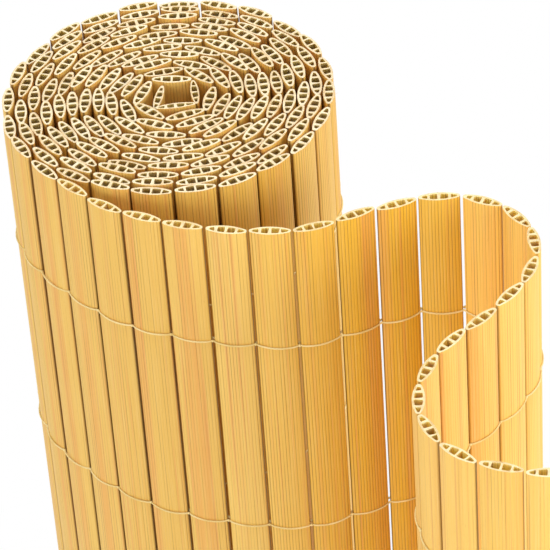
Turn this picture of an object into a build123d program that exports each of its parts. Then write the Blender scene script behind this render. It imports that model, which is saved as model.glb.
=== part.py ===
from build123d import *
import os
from math import cos, pi, radians, sin

# A screening mat of hollow plastic slats, stitched side by side and wound into a roll that stands
# on end, with its outer end unrolled into an S-shaped run. Millimetres, +Z up. The origin is on the
# surface that the mat stands on, under the middle of the mat's box.

# Slat
mat_height = 900.0
slat_width = 16.1
slat_thickness = 4.5
crown_width = 6.6  # flat along the middle of each face, with a flat each side down to the tips
skin = 0.95  # wall over the cells, where the slat is thickest
rib = 0.9  # wall between the two cells
tip_wall = 1.4  # solid tip beyond each cell

# Roll, wound from the core outwards, anticlockwise seen from above
slat_gap = 0.9  # between neighbouring slats, where the stitches cross
roll_slats = 157
core_slack = 0.6  # start of the spiral, beyond half a slat
turn_clearance = 0.6  # between one turn and the next
roll_heading = -51.0  # of the last wound slat, in degrees from +X

# Run, from the roll to the free end, bend by bend
bend_slats = (5, 3, 8, 8)
bend_angles = (36.0, 37.0, -159.0, 136.0)  # turn of each bend in degrees, positive to the left

# Slats slip along each other, so their ends aren't level
roll_slip = 1.2
run_slip = 0.6
slip_cycle = (0.0, 1.0, 0.3, 0.8, 0.0, 1.0, 0.5)  # share of the slip that each slat in a row has

# Stitch rows
first_row = 56.0  # below the top of the mat
row_spacing = 96.0
thread_width = 0.9
thread_height = 0.6  # how far the thread stands off the slats
thread_clearance = 0.1
stitched_turn = 21  # slats of the outer turn, before the run, with the thread in view

slat_pitch = slat_width + slat_gap
turn_pitch = slat_thickness + turn_clearance
core_radius = slat_pitch / 2 + core_slack
row_count = int((mat_height - first_row) // row_spacing) + 1
angle_limit = 1e-9  # radians, where the search for the next gap on the spiral ends


def make_slat():
    """One hollow slat along Z, its width along X, with a cell each side of the middle rib."""
    half_width = slat_width / 2
    half_crown = crown_width / 2
    half_thickness = slat_thickness / 2
    cell_height = half_thickness - skin
    upper_face = Polyline(
        (-half_width, 0), (-half_crown, half_thickness), (half_crown, half_thickness), (half_width, 0)
    )
    outline = make_face(upper_face.edges() + mirror(upper_face, about=Plane.XZ).edges())
    cell = make_face(
        Polyline(
            (rib / 2, -cell_height), (half_width - tip_wall, 0), (rib / 2, cell_height), close=True
        )
    )
    section = outline - cell - mirror(cell, about=Plane.YZ)
    return extrude(section, mat_height, dir=(0, 0, 1)).solid()


def spiral_point(angle):
    radius = core_radius + turn_pitch * angle / (2 * pi)
    return Vector(radius * cos(angle), radius * sin(angle))


def next_angle(angle):
    """Spiral angle one slat further out, narrowed down by halving."""
    start = spiral_point(angle)
    near = angle
    far = angle + pi
    while far - near > angle_limit:
        middle = (near + far) / 2
        if (spiral_point(middle) - start).length < slat_pitch:
            near = middle
        else:
            far = middle
    return near


def run_turns():
    """Turn at each stitched gap of the run, in degrees; each bend eases in and out."""
    turns = []
    for count, angle in zip(bend_slats, bend_angles):
        easing = [sin(pi * (step + 0.5) / count) for step in range(count)]
        turns += [angle * share / sum(easing) for share in easing]
    return turns


def heading(start, end):
    return Vector(1, 0).get_signed_angle(end - start, Vector(0, 0, 1))


def along(angle, length):
    return Vector(length * cos(radians(angle)), length * sin(radians(angle)))


def slip(index, most):
    """Rise of a slat's lower end; the slats with none stand on the ground."""
    return most * slip_cycle[index % len(slip_cycle)]


def stitch_thread(gaps):
    """One stitch row across the slats between these gap points, on the outside of the mat."""
    offset = slat_thickness / 2 + thread_clearance
    headings = [heading(start, end) for start, end in zip(gaps, gaps[1:])]
    points = [gaps[0] + along(headings[0] - 90, offset)]
    for gap, before, after in zip(gaps[1:], headings, headings[1:]):
        half_turn = ((after - before + 180) % 360 - 180) / 2
        points.append(gap + along(before + half_turn - 90, offset / cos(radians(half_turn))))
    points.append(gaps[-1] + along(headings[-1] - 90, offset))
    across = Plane(points[0], x_dir=(0, 0, 1), z_dir=points[1] - points[0])
    half_width = thread_width / 2
    profile = make_face(
        Polyline((-half_width, 0), (half_width, 0), (0, thread_height), close=True)
    )
    return sweep(across * profile, path=Polyline(*points), transition=Transition.RIGHT).solid()


# Gap points along the mat: wound on the spiral, turned to face the run, then the run's bends
angles = [0.0]
for _ in range(roll_slats):
    angles.append(next_angle(angles[-1]))
wound = [spiral_point(angle) for angle in angles]
facing = roll_heading - heading(wound[-2], wound[-1])
gaps = [point.rotate(Axis.Z, facing) for point in wound]
direction = roll_heading
for turn in run_turns():
    direction += turn
    gaps.append(gaps[-1] + along(direction, slat_pitch))

# Nodes: each turn of the roll, each slat of the run, each stitch row
turn_total = int((angles[-1] - angles[1]) // (2 * pi)) + 1
slat = make_slat()
nodes = {}
for index, (start, end) in enumerate(zip(gaps, gaps[1:])):
    if index < roll_slats:
        turns_to_end = (angles[-1] - angles[index + 1]) / (2 * pi)
        name = f"roll_turn_{turn_total - int(turns_to_end):02d}"
        rise = slip(index, roll_slip)
    else:
        name = f"run_slat_{index - roll_slats + 1:02d}"
        rise = slip(index, run_slip)
    middle = (start + end) / 2
    place = Location((middle.X, middle.Y, rise), (0, 0, heading(start, end)))
    nodes.setdefault(name, []).append(slat.moved(place))

thread = stitch_thread(gaps[roll_slats - stitched_turn:])
for row in range(row_count):
    level = mat_height - first_row - row * row_spacing
    nodes[f"stitch_row_{row + 1}"] = [thread.moved(Location((0, 0, level)))]

box = Compound([solid for solids in nodes.values() for solid in solids]).bounding_box()
to_origin = Location((-box.center().X, -box.center().Y, -box.min.Z))

os.makedirs("parts", exist_ok=True)
for name, solids in nodes.items():
    placed = [solid.moved(to_origin) for solid in solids]
    export_step(placed[0] if len(placed) == 1 else Compound(placed), f"parts/{name}.step")
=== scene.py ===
import random
from math import atan2, cos, exp, pi, radians, sin, sqrt

import bmesh
import bpy
import numpy as np
from mathutils import Color, Matrix, Vector
from mathutils.geometry import tessellate_polygon


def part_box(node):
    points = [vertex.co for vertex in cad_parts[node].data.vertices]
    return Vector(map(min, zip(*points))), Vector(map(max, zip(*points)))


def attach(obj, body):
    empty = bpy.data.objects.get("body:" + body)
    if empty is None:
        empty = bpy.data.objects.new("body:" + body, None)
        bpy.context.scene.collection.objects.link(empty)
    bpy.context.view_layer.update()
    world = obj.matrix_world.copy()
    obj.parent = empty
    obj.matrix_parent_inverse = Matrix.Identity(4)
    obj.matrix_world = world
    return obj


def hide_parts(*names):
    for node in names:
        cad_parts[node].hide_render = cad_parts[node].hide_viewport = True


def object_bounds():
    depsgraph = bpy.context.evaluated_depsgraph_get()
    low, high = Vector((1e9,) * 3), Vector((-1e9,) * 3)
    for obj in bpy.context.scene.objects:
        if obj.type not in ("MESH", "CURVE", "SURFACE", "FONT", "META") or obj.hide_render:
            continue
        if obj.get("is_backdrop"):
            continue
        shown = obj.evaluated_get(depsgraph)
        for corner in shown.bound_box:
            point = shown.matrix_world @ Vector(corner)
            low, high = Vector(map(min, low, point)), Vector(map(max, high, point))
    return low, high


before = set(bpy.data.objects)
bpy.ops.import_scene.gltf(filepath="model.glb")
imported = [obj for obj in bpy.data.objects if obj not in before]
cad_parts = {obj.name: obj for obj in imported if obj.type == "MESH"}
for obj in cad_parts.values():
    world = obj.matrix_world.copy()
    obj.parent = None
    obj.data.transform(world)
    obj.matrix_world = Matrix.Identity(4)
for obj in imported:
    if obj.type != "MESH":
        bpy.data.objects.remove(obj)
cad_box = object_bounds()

# A screening mat of hollow slats with a bamboo look, part wound into a standing roll and part
# unrolled into an S-shaped run. Metres, in the frame of the CAD model.

MM = 0.001
UP = Vector((0, 0, 1))

# Slat profile: two shallow arcs that meet in round tips, with four cells inside
tip_radius = 1.2 * MM
tip_steps = 6
skin = 0.8 * MM
cell_spans = np.array(((-6.7, -4.6), (-3.5, -0.5), (0.45, 3.55), (4.35, 7.0))) * MM  # from the middle
rib_lean = 0.28 * MM  # how far a rib may stand out of place at either face
cell_corner = 0.45 * MM
corner_share = 0.45  # most of a cell's side that the rounding of one corner takes
corner_steps = 2
least_cell = 0.18 * MM  # half the height of a cell where it runs out
profile_kinds = 7  # sections that differ in how their ribs lean

# Bamboo ridges pressed into both faces
ridges = 11
ridge_pitch = 1.26 * MM
ridge_height = 0.2 * MM  # over the flats of the CAD slat
groove_depth = 0.08 * MM
groove_shape = ((0.0, 1.0), (0.09, 0.25), (0.2, 0.0), (0.8, 0.0), (0.91, 0.25))  # place, share of depth

# Painted shade along both tips, where the slats face the gaps between them
gap_shade_reach = 0.56  # share of the tip's arc, from its end towards each face, where the painted shade runs out
gap_shade_rise = 2.0  # how fast it darkens from there to the end

# Sawn ends and the small faults of each slat
saw_bevel = 0.1 * MM
saw_fray = (0.06 * MM, 0.32 * MM)
end_spread = 0.3 * MM
bow_depth = (0.033 * MM, 0.11 * MM)
bow_wave = 0.62  # height of one wave of the bow
bow_levels = 9
roll_sway = radians(3.2)  # how far a slat is turned out of line
run_sway = radians(1.0)
roll_shift = 0.1 * MM  # how far it is moved inwards or outwards
roll_drift = 0.22 * MM  # how far it is moved along the mat
run_drift = 0.1 * MM
core_slats = 9  # bent tightest, so they lie true
pressed_slats = 3  # the first of them are pressed flatter
pressed_share = 0.7

# Shreds of plastic left on the edges of the slats in view
whisker_share = 0.45  # of those edges have one
whisker_length = (1.2 * MM, 3.0 * MM)
whisker_radius = 0.11 * MM
whisker_taper = 0.8  # share of the radius that is gone at the point
whisker_root = 0.5 * MM  # inside the slat's edge
whisker_lean = (-0.3, 0.5)  # sideways for its length, positive away from the slat
whisker_rise = 0.5  # upwards for its length
whisker_curl = 0.7  # most that its point bends aside for its length
whisker_steps = 5
whisker_sides = 3

# Painted shade and painted light along the mat, counted in slats from the start of the run
valley_shade_bands = ((8.0, 3.0, 0.8), (-19.5, 3.5, 0.35))  # middle slat, reach, most
both_faces_lit_slats = ((9.0, 0.0), (10.0, 1.0), (12.0, 1.0), (15.0, 0.6))  # slat, share of the painted light
grain_spread = 500.0  # millimetres of grain within which a slat's own grain starts

# Stitching
stitched_turn = 21  # slats of the outer turn of the roll that show their stitches
inner_stitch_from = 2  # slat of the run where the stitches on the inner face come clear of the roll
thread_radius = 0.4 * MM
thread_twist = 1.1 * MM  # length of one turn of the ply
thread_sides = 7
ply_depth = 0.16  # share of the radius that the valleys between the plies take
stitch_steps = 18
stitch_dip = 0.25 * MM  # from the middle of the mat to the underside of the thread, in a gap
stitch_wander = 0.45 * MM
stitch_sag = (0.2, 1.0)  # share of the wander by which the thread hangs through over a slat
knot_radius = 0.62 * MM
knot_width = 0.85  # share of the radius
knot_height = (0.9, 1.25)
knot_lumps = (0.9, 1.1)
knot_shade = 0.6  # most of the ply's shade that a knot takes

# View and light
camera_place = Vector((-0.00516, -1.04655, 1.73184))
camera_elevation = radians(39.32)
camera_roll = radians(-4.10)
camera_lens = 230.0  # millimetres, as is the sensor
camera_sensor = 36.0
camera_reach = 50.0
floor_size = 12.0
floor_near = 0.25  # from the foot of the mat, where the floor keeps its own shade
floor_far = 0.85  # where it has turned to the white of the background
floor_plain = 0.45  # share of its own shade near the mat
sky_level = 0.55
light_aim = Vector((0.0, 0.0, 0.68))
softboxes = (  # name, place, width and height, watts
    ("key", (-1.7, -2.0, 1.35), (1.6, 1.4), 30.5),
    ("fill", (2.2, -1.3, 1.35), (1.6, 1.4), 43.5),
    ("overhead", (0.1, 0.2, 2.9), (2.0, 2.0), 27.5),
)

weld = 1e-5  # corners of a CAD mesh that lie this close are one
sharp_angle = radians(32)  # an edge sharper than this isn't shaded smooth
dice = random.Random(17)


def tint(code):
    """Colour for a shader from a six-figure hex colour."""
    shares = [part / 255 for part in bytes.fromhex(code)]
    return (*Color(shares).from_srgb_to_scene_linear(), 1.0)


# Colours of the skin
straw_gold = tint("E9C268")
ripe_gold = tint("E1B250")
# painted shade for the valley between the run and the roll
valley_shade_gold = tint("EAB42A")
# painted light for the slats that stand free
sunlit_gold = tint("FFCB60")
amber = tint("E29F4E")
copper = tint("DB8E50")
fibre_cream = tint("F6DD9A")
groove_brown = tint("8A5A1C")
speck_brown = tint("AE7630")
# painted shade for the tips of the slats, where they face the gaps
gap_shade_brown = tint("542909")

# Colours of the sawn ends
sawn_cream = tint("F8E8C6")
sawn_buff = tint("F1DCB4")
# painted light for the sawn ends of the run
lit_cream = tint("F3DD9E")
worn_buff = tint("DBBB80")
torn_cream = tint("FFF0CE")

# Colours inside the cells
# painted shade: the plastic of the skin, drawn olive and drab for the shade in the cells
shaded_cell_olive = tint("BBA56C")
shaded_cell_drab = tint("B79C60")
# painted light for the cells of the run
lit_cell = tint("F6CE82")
drawn_drab = tint("8C7848")

# Colours of the thread
thread_cream = tint("F0DB9E")
thread_buff = tint("E2C780")
# painted shade for the valleys between the plies
ply_valley_shade = tint("C9A664")

# Colours of the studio
floor_grey = (0.86, 0.86, 0.86, 1.0)
white = (1.0, 1.0, 1.0, 1.0)

# Sockets of a Mix node for colours, which share their names with its other sockets
MIX_SHARE, MIX_BELOW, MIX_ABOVE = 0, 6, 7
MIX_COLOUR = 2


class Value:
    """A socket in a finish. Sums, differences and products of values add Math nodes."""

    def __init__(self, finish, socket):
        self.finish = finish
        self.socket = socket

    def math(self, operation, first, second):
        return self.finish.node("ShaderNodeMath", {"operation": operation}, {0: first, 1: second})

    def __add__(self, other):
        return self.math("ADD", self, other)

    def __radd__(self, other):
        return self.math("ADD", other, self)

    def __sub__(self, other):
        return self.math("SUBTRACT", self, other)

    def __rsub__(self, other):
        return self.math("SUBTRACT", other, self)

    def __mul__(self, other):
        return self.math("MULTIPLY", self, other)

    def __rmul__(self, other):
        return self.math("MULTIPLY", other, self)


class Finish:
    """The nodes of one material, or of the sky."""

    def __init__(self, owner):
        self.owner = owner
        owner.use_nodes = True
        self.tree = owner.node_tree
        self.tree.nodes.clear()

    def node(self, kind, settings=None, sockets=None, output=0):
        """Adds a node: first its settings, then the value or link of each socket."""
        made = self.tree.nodes.new(kind)
        for name, setting in (settings or {}).items():
            setattr(made, name, setting)
        for name, value in (sockets or {}).items():
            if isinstance(value, Value):
                self.tree.links.new(value.socket, made.inputs[name])
            else:
                made.inputs[name].default_value = value
        return Value(self, made.outputs[output]) if len(made.outputs) else made

    def mark(self, name, output="Fac"):
        """A value that the mesh holds at each of its points."""
        return self.node("ShaderNodeAttribute", {"attribute_name": name}, None, output)

    def place(self):
        """Where a point of the surface is, in metres."""
        return self.node("ShaderNodeTexCoord", None, None, "Object")

    def noise(self, place, scale, detail=2.0, roughness=0.5):
        sockets = {"Vector": place, "Scale": scale, "Detail": detail, "Roughness": roughness}
        return self.node("ShaderNodeTexNoise", None, sockets)

    def grain_noise(self, waves, detail=2.0, roughness=0.5):
        """Noise with so many waves for a millimetre across a slat, a millimetre along it, and a slat."""
        sockets = {0: self.mark("grain", "Vector"), 1: waves}
        place = self.node("ShaderNodeVectorMath", {"operation": "MULTIPLY"}, sockets)
        return self.noise(place, 1.0, detail, roughness)

    def ramp(self, value, low, high):
        """0 below low, 1 above high, smooth between."""
        settings = {"interpolation_type": "SMOOTHSTEP"}
        sockets = {"Value": value, "From Min": low, "From Max": high}
        return self.node("ShaderNodeMapRange", settings, sockets)

    def layers(self, colour, *coats):
        """A colour under coats of (share, colour), each laid over those before it."""
        for share, coat in coats:
            sockets = {MIX_SHARE: share, MIX_BELOW: colour, MIX_ABOVE: coat}
            colour = self.node("ShaderNodeMix", {"data_type": "RGBA"}, sockets, MIX_COLOUR)
        return colour

    def bump(self, height, strength, distance):
        sockets = {"Strength": strength, "Distance": distance, "Height": height}
        return self.node("ShaderNodeBump", None, sockets)

    def background_rays(self):
        """1 for the rays that show the background, straight or by way of something glossy or clear."""
        names = [f"Is {kind} Ray" for kind in ("Camera", "Glossy", "Transmission")]
        first, *others = [self.node("ShaderNodeLightPath", None, None, name) for name in names]
        return sum(others, first)

    def show(self, shader, kind="ShaderNodeOutputMaterial"):
        self.node(kind, None, {"Surface": shader})
        return self.owner


def new_finish(name):
    return Finish(bpy.data.materials.new(name))


def new_object(name, data):
    made = bpy.data.objects.new(name, data)
    bpy.context.scene.collection.objects.link(made)
    return made


def bamboo_skin():
    """Golden plastic with darker ridge lines, warm streaks along each slat and a tone of its own;
    painted shade along the tips, where they face the gaps, and in the valley between the run and the
    roll, and painted light on the slats that stand free.
    """
    finish = new_finish("bamboo_skin")
    tone = finish.mark("tone")
    valley_shade = finish.mark("valley_shade")
    free = finish.mark("free")
    bands = finish.grain_noise((0.17, 0.0016, 7.3))
    streaks = finish.grain_noise((0.75, 0.004, 3.1), detail=3.0, roughness=0.6)
    fibres = finish.grain_noise((4.2, 0.025, 5.7), detail=3.0, roughness=0.65)
    specks = finish.grain_noise((3.0, 0.5, 9.1), detail=3.0, roughness=0.6)
    wear = finish.grain_noise((0.55, 0.009, 6.1))
    # the ridge lines show more in the painted valley shade and less on the slats painted lighter
    unworn = finish.ramp(wear + 0.25 * valley_shade - 0.06 * free, 0.36, 0.72)
    colour = finish.layers(
        straw_gold,
        (tone, ripe_gold),
        # painted shade in the valley of the run and on the slats of the roll that face it
        (valley_shade, valley_shade_gold),
        # painted light: the slats that stand free are painted lighter, for the light on both faces
        (free * 0.75, sunlit_gold),
        (finish.ramp(bands + 0.12 * tone, 0.54, 0.74) * (0.6 - 0.3 * free), amber),
        (finish.ramp(streaks, 0.54, 0.7) * 0.5, copper),
        (finish.ramp(fibres, 0.5, 0.75) * 0.4, fibre_cream),
        (finish.mark("groove") * unworn * 0.85, groove_brown),
        (finish.ramp(specks, 0.6, 0.8) * 0.3, speck_brown),
        # painted shade along the tips, where they face the gaps; less of it on the slats that stand free
        (finish.mark("gap_shade") * (0.9 - 0.45 * free), gap_shade_brown),
    )
    return finish.show(finish.node("ShaderNodeBsdfPrincipled", None, {
        "Base Color": colour,
        "Roughness": 0.42 + 0.16 * fibres,
        "Specular IOR Level": 0.35,
        "Normal": finish.bump(fibres * 0.6 + specks * 0.25, strength=0.35, distance=0.05 * MM),
    }))


def sawn_end():
    """Pale cut plastic, torn a little by the saw, with painted light on the ends of the slats of the
    run.
    """
    finish = new_finish("sawn_end")
    place = finish.place()
    torn = finish.noise(place, scale=1400.0, detail=3.0, roughness=0.65)
    patches = finish.noise(place, scale=300.0)
    colour = finish.layers(
        sawn_cream,
        (finish.mark("tone"), sawn_buff),
        # painted light: the sawn ends of the run are painted lighter than those in the roll
        (finish.mark("open") * 0.5, lit_cream),
        (finish.ramp(patches, 0.45, 0.75) * 0.5, worn_buff),
        (finish.ramp(torn, 0.5, 0.8) * 0.3, torn_cream),
    )
    return finish.show(finish.node("ShaderNodeBsdfPrincipled", None, {
        "Base Color": colour,
        "Roughness": 0.6 + 0.2 * torn,
        "Specular IOR Level": 0.25,
        "Normal": finish.bump(torn, strength=0.5, distance=0.08 * MM),
    }))


def cell_wall():
    """Raw plastic inside the cells, lit through the thin skin by subsurface scattering where the slat
    stands free; the olive and drab walls are painted shade, and the gold of the run's cells is painted
    light.
    """
    finish = new_finish("cell_wall")
    drawn = finish.grain_noise((1.5, 0.05, 4.3))
    # painted shade in the olive and drab walls, painted light in the gold of the run's cells
    colour = finish.layers(
        shaded_cell_olive,
        (finish.mark("tone"), shaded_cell_drab),
        (finish.mark("open"), lit_cell),
        (finish.ramp(drawn, 0.4, 0.7) * 0.6, drawn_drab),
    )
    return finish.show(finish.node("ShaderNodeBsdfPrincipled", None, {
        "Base Color": colour,
        "Roughness": 0.5 + 0.2 * drawn,
        "Specular IOR Level": 0.3,
        "Subsurface Weight": 0.9,
        "Subsurface Radius": (0.8, 0.76, 0.5),
        "Subsurface Scale": 4.0 * MM,
    }))


def cream_thread():
    """Two-ply thread with painted shade in the lines where the plies lie against each other."""
    finish = new_finish("cream_thread")
    place = finish.place()
    fuzz = finish.noise(place, scale=3500.0, detail=3.0, roughness=0.7)
    wear = finish.noise(place, scale=90.0)
    colour = finish.layers(
        thread_cream,
        (finish.ramp(wear, 0.4, 0.7), thread_buff),
        # painted shade in the valleys between the plies, and at random over the knots
        (finish.ramp(finish.mark("ply"), 0.4, 1.0) * 0.35, ply_valley_shade),
    )
    return finish.show(finish.node("ShaderNodeBsdfPrincipled", None, {
        "Base Color": colour,
        "Roughness": 0.75 + 0.2 * fuzz,
        "Specular IOR Level": 0.2,
        "Normal": finish.bump(fuzz, strength=0.6, distance=0.06 * MM),
    }))


# Slats of the CAD model

class Slat:
    """A slat of the CAD model: its node, its two tips in plan, and its lower and upper end."""

    def __init__(self, node, points):
        self.node = node
        plan = np.array([point[:2] for point in points])
        spread = np.linalg.norm(plan[:, None] - plan[None], axis=2)
        first, second = np.unravel_index(spread.argmax(), spread.shape)
        self.start = Vector(plan[first])
        self.stop = Vector(plan[second])
        self.width = (self.stop - self.start).length
        across = (plan - plan[first]) @ np.array(self.outward)
        self.thickness = across.max() - across.min()
        heights = [point[2] for point in points]
        self.foot = min(heights)
        self.top = max(heights)

    @property
    def middle(self):
        return (self.start + self.stop) / 2

    @property
    def along(self):
        return (self.stop - self.start).normalized()

    @property
    def outward(self):
        """Square to the slat, to the right of the winding direction."""
        return Vector((self.along.y, -self.along.x))

    def turn(self):
        self.start, self.stop = self.stop, self.start


def nodes_named(beginning):
    return sorted(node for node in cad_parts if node.startswith(beginning))


def slats_of(node):
    """Slats of a CAD node, each from one connected solid."""
    solids = bmesh.new()
    solids.from_mesh(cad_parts[node].data)
    bmesh.ops.remove_doubles(solids, verts=solids.verts, dist=weld)
    left = set(solids.verts)
    slats = []
    while left:
        waiting = [left.pop()]
        points = []
        while waiting:
            vert = waiting.pop()
            points.append(tuple(vert.co))
            for edge in vert.link_edges:
                other = edge.other_vert(vert)
                if other in left:
                    left.remove(other)
                    waiting.append(other)
        slats.append(Slat(node, points))
    solids.free()
    return slats


def mat_in_order():
    """All slats from the core to the free end, each with its tip towards the core as its start."""
    rest = [slat for node in slat_nodes for slat in slats_of(node)]
    last = next(slat for slat in rest if slat.node == slat_nodes[-1])
    rest.remove(last)

    def to_the_rest(tip):
        return min((slat.middle - tip).length for slat in rest)

    if to_the_rest(last.stop) < to_the_rest(last.start):
        last.turn()
    ordered = [last]
    while rest:
        tip = ordered[-1].start
        near = min(rest, key=lambda slat: min((slat.start - tip).length, (slat.stop - tip).length))
        if (near.start - tip).length < (near.stop - tip).length:
            near.turn()
        rest.remove(near)
        ordered.append(near)
    return ordered[::-1]


slat_nodes = nodes_named("roll_turn") + nodes_named("run_slat")
mat = mat_in_order()
run_start = next(number for number, slat in enumerate(mat) if slat.node.startswith("run_slat"))
first_stitched = run_start - stitched_turn


# Slat profile

slat_width = mat[0].width
crown = mat[0].thickness / 2 + ridge_height
tip_centre = slat_width / 2 - tip_radius
arc_radius = (tip_centre ** 2 + crown ** 2 - tip_radius ** 2) / (2 * (crown - tip_radius))
tip_angle = atan2(arc_radius - crown, tip_centre)


def arc_height(across):
    """Height of the slat's face over its middle plane."""
    return crown - arc_radius + sqrt(arc_radius ** 2 - across ** 2)


def face_line():
    """Points of one face from tip to tip, as (across, height, share of groove, share of painted gap
    shade).
    """
    half_width = ridges * ridge_pitch / 2
    places = [(ridge + place, groove) for ridge in range(ridges) for place, groove in groove_shape]
    places.append((ridges, 1.0))  # the groove after the last ridge
    line = []
    for place, groove in places:
        across = place * ridge_pitch - half_width
        line.append((across, arc_height(across) - groove * groove_depth, groove, 0.0))
    return line


def tip_line():
    """Points round the tip, from the upper face to the lower, as those of a face."""
    line = []
    for step in range(tip_steps + 1):
        share = 1 - 2 * step / tip_steps
        angle = tip_angle * share
        # share of the painted gap shade at this point of the tip
        gap_shade = min(max(gap_shade_rise * (gap_shade_reach - abs(share)), 0.0), 1.0)
        line.append((tip_centre + tip_radius * cos(angle), tip_radius * sin(angle), 0.0, gap_shade))
    return line


def outline():
    """Closed line of such points round the slat, anticlockwise."""
    face = face_line()
    tip = tip_line()
    left_tip = [(-across, height, *shares) for across, height, *shares in tip]
    lower_face = [(across, -height, *shares) for across, height, *shares in face]
    right_tip = [(across, -height, *shares) for across, height, *shares in tip]
    return face[::-1] + left_tip + lower_face + right_tip


def with_neighbours(line):
    """Each point of a closed line, between the one before it and the one after it."""
    return zip(line[-1:] + line, line, line[1:] + line[:1])


def rounded(corners):
    """Corners of a cell cut back and rounded; every corner gets the same number of points."""
    line = []
    for before, corner, after in with_neighbours(corners):
        to_before = before - corner
        to_after = after - corner
        cut = min(cell_corner, to_before.length * corner_share, to_after.length * corner_share)
        start = corner + to_before.normalized() * cut
        stop = corner + to_after.normalized() * cut
        for step in range(corner_steps + 1):
            t = step / corner_steps
            line.append(start * (1 - t) ** 2 + corner * 2 * t * (1 - t) + stop * t ** 2)
    return line


def cell_lines():
    """Closed lines of the four cells, from left to right, each anticlockwise."""
    cells = []
    for span in cell_spans:
        rows = []
        for face in (-1, 1):
            left, right = (end + dice.uniform(-rib_lean, rib_lean) for end in span)
            places = (left, (left + right) / 2, right)
            rows.append([Vector((u, face * max(arc_height(u) - skin, least_cell))) for u in places])
        lower, upper = rows
        cells.append(rounded(lower + upper[::-1]))
    return cells


def set_in(line, distance):
    """A closed line moved to its left, into the area that it goes round anticlockwise."""
    moved = []
    for before, point, after in with_neighbours(line):
        run = (after - before).normalized()
        moved.append(point + Vector((-run.y, run.x)) * distance)
    return moved


class Profile:
    """Section of the slat as closed lines of points, and the triangles of its sawn end."""

    def __init__(self):
        line = outline()
        self.outer = [Vector((across, height)) for across, height, _, _ in line]
        self.grooves = [groove for _, _, groove, _ in line]
        self.gap_shades = [gap_shade for _, _, _, gap_shade in line]
        self.cells = cell_lines()
        cuts = [set_in(self.outer, saw_bevel)]
        cuts += [set_in(cell, -saw_bevel) for cell in self.cells]
        self.cut_points = [point for cut in cuts for point in cut]
        self.cut_faces = []
        for corners in tessellate_polygon([[point.to_3d() for point in cut] for cut in cuts]):
            a, b, c = (self.cut_points[corner] for corner in corners)
            left_turn = (b - a).cross(c - a) > 0
            self.cut_faces.append(corners if left_turn else corners[::-1])


# Slats

class Pile:
    """Points, faces and marks of one piece while it is put together."""

    def __init__(self):
        self.points = []
        self.faces = []
        self.finishes = []
        self.marks = {}

    def add_points(self, points, **marks):
        """Adds points with a mark of each kind for each of them; returns the number of the first."""
        first = len(self.points)
        self.points += points
        for name, values in marks.items():
            self.marks.setdefault(name, []).extend(values)
        return first

    def add_face(self, corners, finish):
        self.faces.append(corners)
        self.finishes.append(finish)

    def join_rings(self, low, high, count, finish):
        """Quads between two closed rings of points; low runs anticlockwise seen from high."""
        for i in range(count):
            j = (i + 1) % count
            self.add_face((low + i, low + j, high + j, high + i), finish)

    def join_tube(self, rings, count, finish):
        """A tube through closed rings of points, shut at both ends."""
        for low, high in zip(rings, rings[1:]):
            self.join_rings(low, high, count, finish)
        self.add_face(tuple(rings[0] + i for i in reversed(range(count))), finish)
        self.add_face(tuple(rings[-1] + i for i in range(count)), finish)

    def piece(self, name, materials):
        """The object that the pile makes."""
        mesh = bpy.data.meshes.new(name)
        mesh.from_pydata(self.points, [], self.faces)
        for material in materials:
            mesh.materials.append(material)
        mesh.polygons.foreach_set("material_index", self.finishes)
        mesh.polygons.foreach_set("use_smooth", [True] * len(self.faces))
        for mark, values in self.marks.items():
            if isinstance(values[0], tuple):
                layer = mesh.attributes.new(mark, "FLOAT_VECTOR", "POINT")
                layer.data.foreach_set("vector", [part for value in values for part in value])
            else:
                layer = mesh.attributes.new(mark, "FLOAT", "POINT")
                layer.data.foreach_set("value", values)
        mesh.set_sharp_from_angle(angle=sharp_angle)
        mesh.update()
        return new_object(name, mesh)


def valley_shade_share(run_number):
    """Painted shade: deeper, darker gold on the slats in the valley of the run and on those of the roll
    that face it.
    """
    return sum(most * exp(-((run_number - middle) / reach) ** 2) for middle, reach, most in valley_shade_bands)


def both_faces_light_share(run_number):
    """Painted light on the slats that stand free, for the light that they get on both faces."""
    return float(np.interp(run_number, *zip(*both_faces_lit_slats)))


SKIN, SAWN, CELL = range(3)  # finishes of a slat


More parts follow.
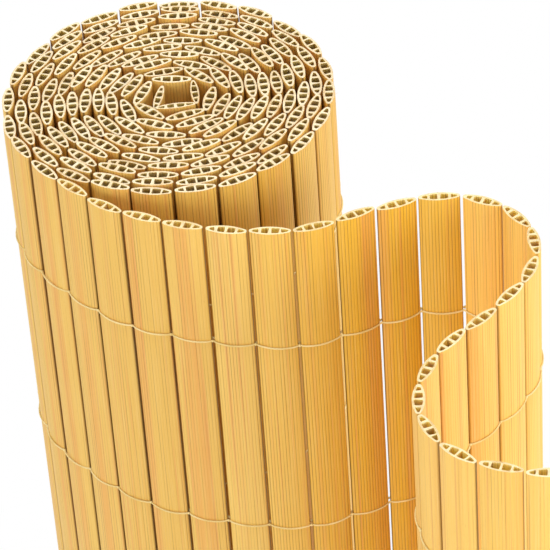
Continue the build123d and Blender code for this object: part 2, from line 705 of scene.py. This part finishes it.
class LaidSlat:
    """A slat as it lies in the mat: turned, moved and bowed a little, with a tone of its own."""

    def __init__(self, slat, number, pile):
        self.number = number
        self.pile = pile
        self.profile = profiles[number % profile_kinds]
        self.in_run = number >= run_start
        self.squeeze = pressed_share if number < pressed_slats else 1.0
        self.valley_shade = valley_shade_share(number - run_start)
        self.free = both_faces_light_share(number - run_start)
        self.tone = dice.random()
        self.grain_start = dice.uniform(0.0, grain_spread)
        self.foot = slat.foot
        self.top = slat.top + dice.uniform(-end_spread, end_spread)
        self.fray = dice.uniform(*saw_fray)
        self.low_edge = self.foot + saw_bevel
        self.high_edge = self.top - saw_bevel
        self.lay(slat)

    def lay(self, slat):
        """Sets the slat's bow, and its middle and directions in plan."""
        play = 0.0 if self.number < core_slats else 1.0
        self.phases = [dice.uniform(0, 2 * pi) for _ in range(2)]
        self.bows = [dice.uniform(*bow_depth) * play for _ in range(2)]
        sway = dice.uniform(-1, 1) * play * (run_sway if self.in_run else roll_sway)
        shift = 0.0 if self.in_run else dice.uniform(-1, 1) * play * roll_shift
        drift = dice.uniform(-1, 1) * play * (run_drift if self.in_run else roll_drift)
        self.middle = slat.middle + slat.outward * shift + slat.along * drift
        self.along = slat.along * cos(sway) + slat.outward * sin(sway)
        self.outward = slat.outward * cos(sway) - slat.along * sin(sway)

    def spot(self, across, out, height):
        """Place in plan of a point of the section, at this height of the bowed slat."""
        turn = 2 * pi * height / bow_wave
        aside, outwards = (bow * sin(phase + turn) for bow, phase in zip(self.bows, self.phases))
        return self.middle + self.along * (across + aside) + self.outward * (out + outwards)

    def add_points(self, points, across, grooves=None, gap_shades=None):
        """Adds points to the pile, marked with all that the finishes need to know there."""
        count = len(points)
        heights = [height / MM + self.grain_start for _, _, height in points]
        return self.pile.add_points(
            points,
            grain=[(u / MM, height, float(self.number)) for u, height in zip(across, heights)],
            tone=[self.tone] * count,
            valley_shade=[self.valley_shade] * count,
            free=[self.free] * count,
            open=[float(self.in_run)] * count,
            groove=grooves or [0.0] * count,
            gap_shade=gap_shades or [0.0] * count,
        )

    def add_ring(self, line, height, fray=0.0, grooves=None, gap_shades=None):
        """Adds a closed line of the section at this height, frayed downwards by the saw."""
        points = []
        for point in line:
            spot = self.spot(point.x, -point.y * self.squeeze, height)
            points.append((spot.x, spot.y, height - dice.uniform(0.0, fray)))
        return self.add_points(points, [point.x for point in line], grooves, gap_shades)

    def add_sides(self):
        """Ridged faces and tips; returns the lowest and the highest ring."""
        profile = self.profile
        rise = (self.high_edge - self.low_edge) / bow_levels
        levels = [self.low_edge + rise * level for level in range(bow_levels + 1)]
        rings = []
        for level in levels:
            rings.append(self.add_ring(profile.outer, level, 0.0, profile.grooves, profile.gap_shades))
        for low, high in zip(rings, rings[1:]):
            self.pile.join_rings(low, high, len(profile.outer), SKIN)
        return rings[0], rings[-1]

    def add_end(self, upper, side):
        """A sawn end, bevelled to the ring of the sides; returns the rings where the cells begin."""
        profile = self.profile
        height = self.top if upper else self.foot
        edge = self.high_edge if upper else self.low_edge
        cut = self.add_ring(profile.cut_points, height, self.fray if upper else 0.0)
        for face in profile.cut_faces:
            corners = tuple(cut + corner for corner in face)
            self.pile.add_face(corners if upper else corners[::-1], SAWN)
        bevel = (side, cut) if upper else (cut, side)
        self.pile.join_rings(*bevel, len(profile.outer), SAWN)
        walls = []
        rim = cut + len(profile.outer)
        for cell in profile.cells:
            wall = self.add_ring(cell, edge)
            bevel = (rim, wall) if upper else (wall, rim)
            self.pile.join_rings(*bevel, len(cell), SAWN)
            walls.append(wall)
            rim += len(cell)
        return walls

    def add_whisker(self, end, side, height):
        """Thin shred that stands off one edge of the slat and curls."""
        length = dice.uniform(*whisker_length)
        lean = dice.uniform(*whisker_lean) * end
        curl = dice.uniform(-whisker_curl, whisker_curl)
        root = end * (slat_width / 2 - whisker_root)
        rings = []
        for step in range(whisker_steps + 1):
            share = step / whisker_steps
            bend = curl * share ** 2
            across = root + length * (lean * share + bend)
            spot = self.spot(across, side * (whisker_root + length * share), height)
            middle = height + length * (whisker_rise * share - bend)
            radius = whisker_radius * (1 - whisker_taper * share)
            points = []
            for corner in range(whisker_sides):
                angle = 2 * pi * corner / whisker_sides
                place = spot + self.along * radius * cos(angle)
                points.append((place.x, place.y, middle + side * radius * sin(angle)))
            rings.append(self.add_points(points, [across] * whisker_sides))
        self.pile.join_tube(rings, whisker_sides, SAWN)

    def add_all(self):
        """Puts the whole slat on the pile."""
        lowest, highest = self.add_sides()
        upper_walls = self.add_end(True, highest)
        lower_walls = self.add_end(False, lowest)
        for upper, lower, cell in zip(upper_walls, lower_walls, self.profile.cells):
            self.pile.join_rings(upper, lower, len(cell), CELL)
        if self.number >= first_stitched:
            for end in (-1, 1):
                if dice.random() < whisker_share:
                    side = dice.choice((-1, 1)) if self.in_run else 1
                    self.add_whisker(end, side, dice.uniform(self.low_edge, self.high_edge))


profiles = [Profile() for _ in range(profile_kinds)]
slat_finishes = [bamboo_skin(), sawn_end(), cell_wall()]
for node in slat_nodes:
    pile = Pile()
    for number, slat in enumerate(mat):
        if slat.node == node:
            LaidSlat(slat, number, pile).add_all()
    piece = pile.piece(f"{node}_slats", slat_finishes)
    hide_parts(node)
    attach(piece, "root")


# Stitching

THREAD = 0  # the only finish of a stitch row


def stitch_path(slats, side, level):
    """Points of a thread across these slats, over each face and down into every gap, and its knots."""
    normals = [slat.outward * side for slat in slats]
    gaps = [slats[0].start]
    gaps += [(slat.stop + after.start) / 2 for slat, after in zip(slats, slats[1:])]
    gaps.append(slats[-1].stop)
    outs = [normals[0]]
    outs += [(normal + after).normalized() for normal, after in zip(normals, normals[1:])]
    outs.append(normals[-1])
    heights = [level + dice.uniform(-stitch_wander, stitch_wander) for _ in gaps]

    def off_gap(distance):
        spots = [gap + out * distance for gap, out in zip(gaps, outs)]
        return [Vector((spot.x, spot.y, height)) for spot, height in zip(spots, heights)]

    dips = off_gap(stitch_dip + thread_radius)
    knots = off_gap(stitch_dip + 2 * thread_radius)
    path = []
    for i, slat in enumerate(slats):
        sag = dice.uniform(*stitch_sag) * stitch_wander
        path.append(dips[i])
        for step in range(1, stitch_steps):
            t = step / stitch_steps
            across = slat_width * (t - 0.5)
            spot = slat.middle + slat.along * across + normals[i] * (arc_height(across) + thread_radius)
            height = heights[i] * (1 - t) + heights[i + 1] * t - sag * sin(pi * t)
            path.append(Vector((spot.x, spot.y, height)))
    path.append(dips[-1])
    return path, knots


def add_thread(pile, path):
    """Two-ply thread along a path."""
    length = 0.0
    rings = []
    for i, spot in enumerate(path):
        before = path[max(i - 1, 0)]
        after = path[min(i + 1, len(path) - 1)]
        ahead = (after - before).normalized()
        side = ahead.cross(UP).normalized()
        up = side.cross(ahead)
        length += (spot - before).length
        points = []
        ply = []
        for step in range(thread_sides):
            angle = 2 * pi * step / thread_sides
            valley = 0.5 - 0.5 * cos(2 * (angle - 2 * pi * length / thread_twist))
            radius = thread_radius * (1 - ply_depth * valley)
            points.append(tuple(spot + (side * cos(angle) + up * sin(angle)) * radius))
            ply.append(valley)
        rings.append(pile.add_points(points, ply=ply))
    pile.join_tube(rings, thread_sides, THREAD)


def add_knot(pile, spot):
    """Small lump where the threads of the two faces lock."""
    ball = bmesh.new()
    bmesh.ops.create_icosphere(ball, subdivisions=1, radius=knot_radius)
    shape = Vector((knot_width, knot_width, dice.uniform(*knot_height)))
    points = [tuple(spot + vert.co * shape * dice.uniform(*knot_lumps)) for vert in ball.verts]
    first = pile.add_points(points, ply=[dice.uniform(0.0, knot_shade) for _ in points])
    for face in ball.faces:
        pile.add_face(tuple(first + vert.index for vert in face.verts), THREAD)
    ball.free()


thread_finish = [cream_thread()]
for node in nodes_named("stitch_row"):
    lowest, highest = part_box(node)
    level = (lowest.z + highest.z) / 2
    pile = Pile()
    for side, slats in ((1, mat[first_stitched:]), (-1, mat[run_start + inner_stitch_from:])):
        path, knots = stitch_path(slats, side, level)
        add_thread(pile, path)
        for knot in knots:
            add_knot(pile, knot)
    piece = pile.piece(f"{node}_thread", thread_finish)
    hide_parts(node)
    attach(piece, "root")


# Floor, light and camera

def pale_floor():
    """Pale floor that holds the mat's shadow and turns to white farther out."""
    finish = new_finish("pale_floor")
    plain = finish.node("ShaderNodeBsdfDiffuse", None, {"Color": floor_grey})
    bright = finish.node("ShaderNodeEmission", None, {"Color": white, "Strength": 1.0})
    distance = finish.node("ShaderNodeVectorMath", {"operation": "LENGTH"}, {0: finish.place()}, "Value")
    far = finish.ramp(distance, floor_near, floor_far)
    share = finish.background_rays() * (1 - floor_plain + floor_plain * far)
    return finish.show(finish.node("ShaderNodeMixShader", None, {0: share, 1: plain, 2: bright}))


def studio_sky():
    """Even light from all round, with a white background."""
    finish = Finish(bpy.data.worlds.new("studio_sky"))
    seen = finish.background_rays()
    strength = seen + (1 - seen) * sky_level
    shade = finish.node("ShaderNodeBackground", None, {"Color": white, "Strength": strength})
    return finish.show(shade, "ShaderNodeOutputWorld")


def studio_floor():
    half = floor_size / 2
    corners = [(-half, -half, 0), (half, -half, 0), (half, half, 0), (-half, half, 0)]
    mesh = bpy.data.meshes.new("floor")
    mesh.from_pydata(corners, [], [(0, 1, 2, 3)])
    mesh.materials.append(pale_floor())
    return new_object("floor", mesh)


def softbox(name, place, size, power):
    lamp = bpy.data.lights.new(name, "AREA")
    lamp.shape = "RECTANGLE"
    lamp.size, lamp.size_y = size
    lamp.energy = power
    holder = new_object(name, lamp)
    holder.location = place
    holder.rotation_mode = "QUATERNION"
    holder.rotation_quaternion = (light_aim - Vector(place)).to_track_quat("-Z", "Y")


def studio_camera():
    camera = bpy.data.cameras.new("camera")
    camera.lens = camera_lens
    camera.sensor_width = camera_sensor
    camera.clip_end = camera_reach
    holder = new_object("camera", camera)
    holder.location = camera_place
    tilt = Matrix.Rotation(pi / 2 - camera_elevation, 4, "X") @ Matrix.Rotation(camera_roll, 4, "Z")
    holder.rotation_mode = "QUATERNION"
    holder.rotation_quaternion = tilt.to_quaternion()
    return holder


floor = studio_floor()
floor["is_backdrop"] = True
for lamp_values in softboxes:
    softbox(*lamp_values)
scene = bpy.context.scene
scene.world = studio_sky()
scene.camera = studio_camera()
scene.view_settings.view_transform = "Standard"

boxes = {"cad": cad_box, "visual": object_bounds()}
{name: [list(corner) for corner in box] for name, box in boxes.items()}
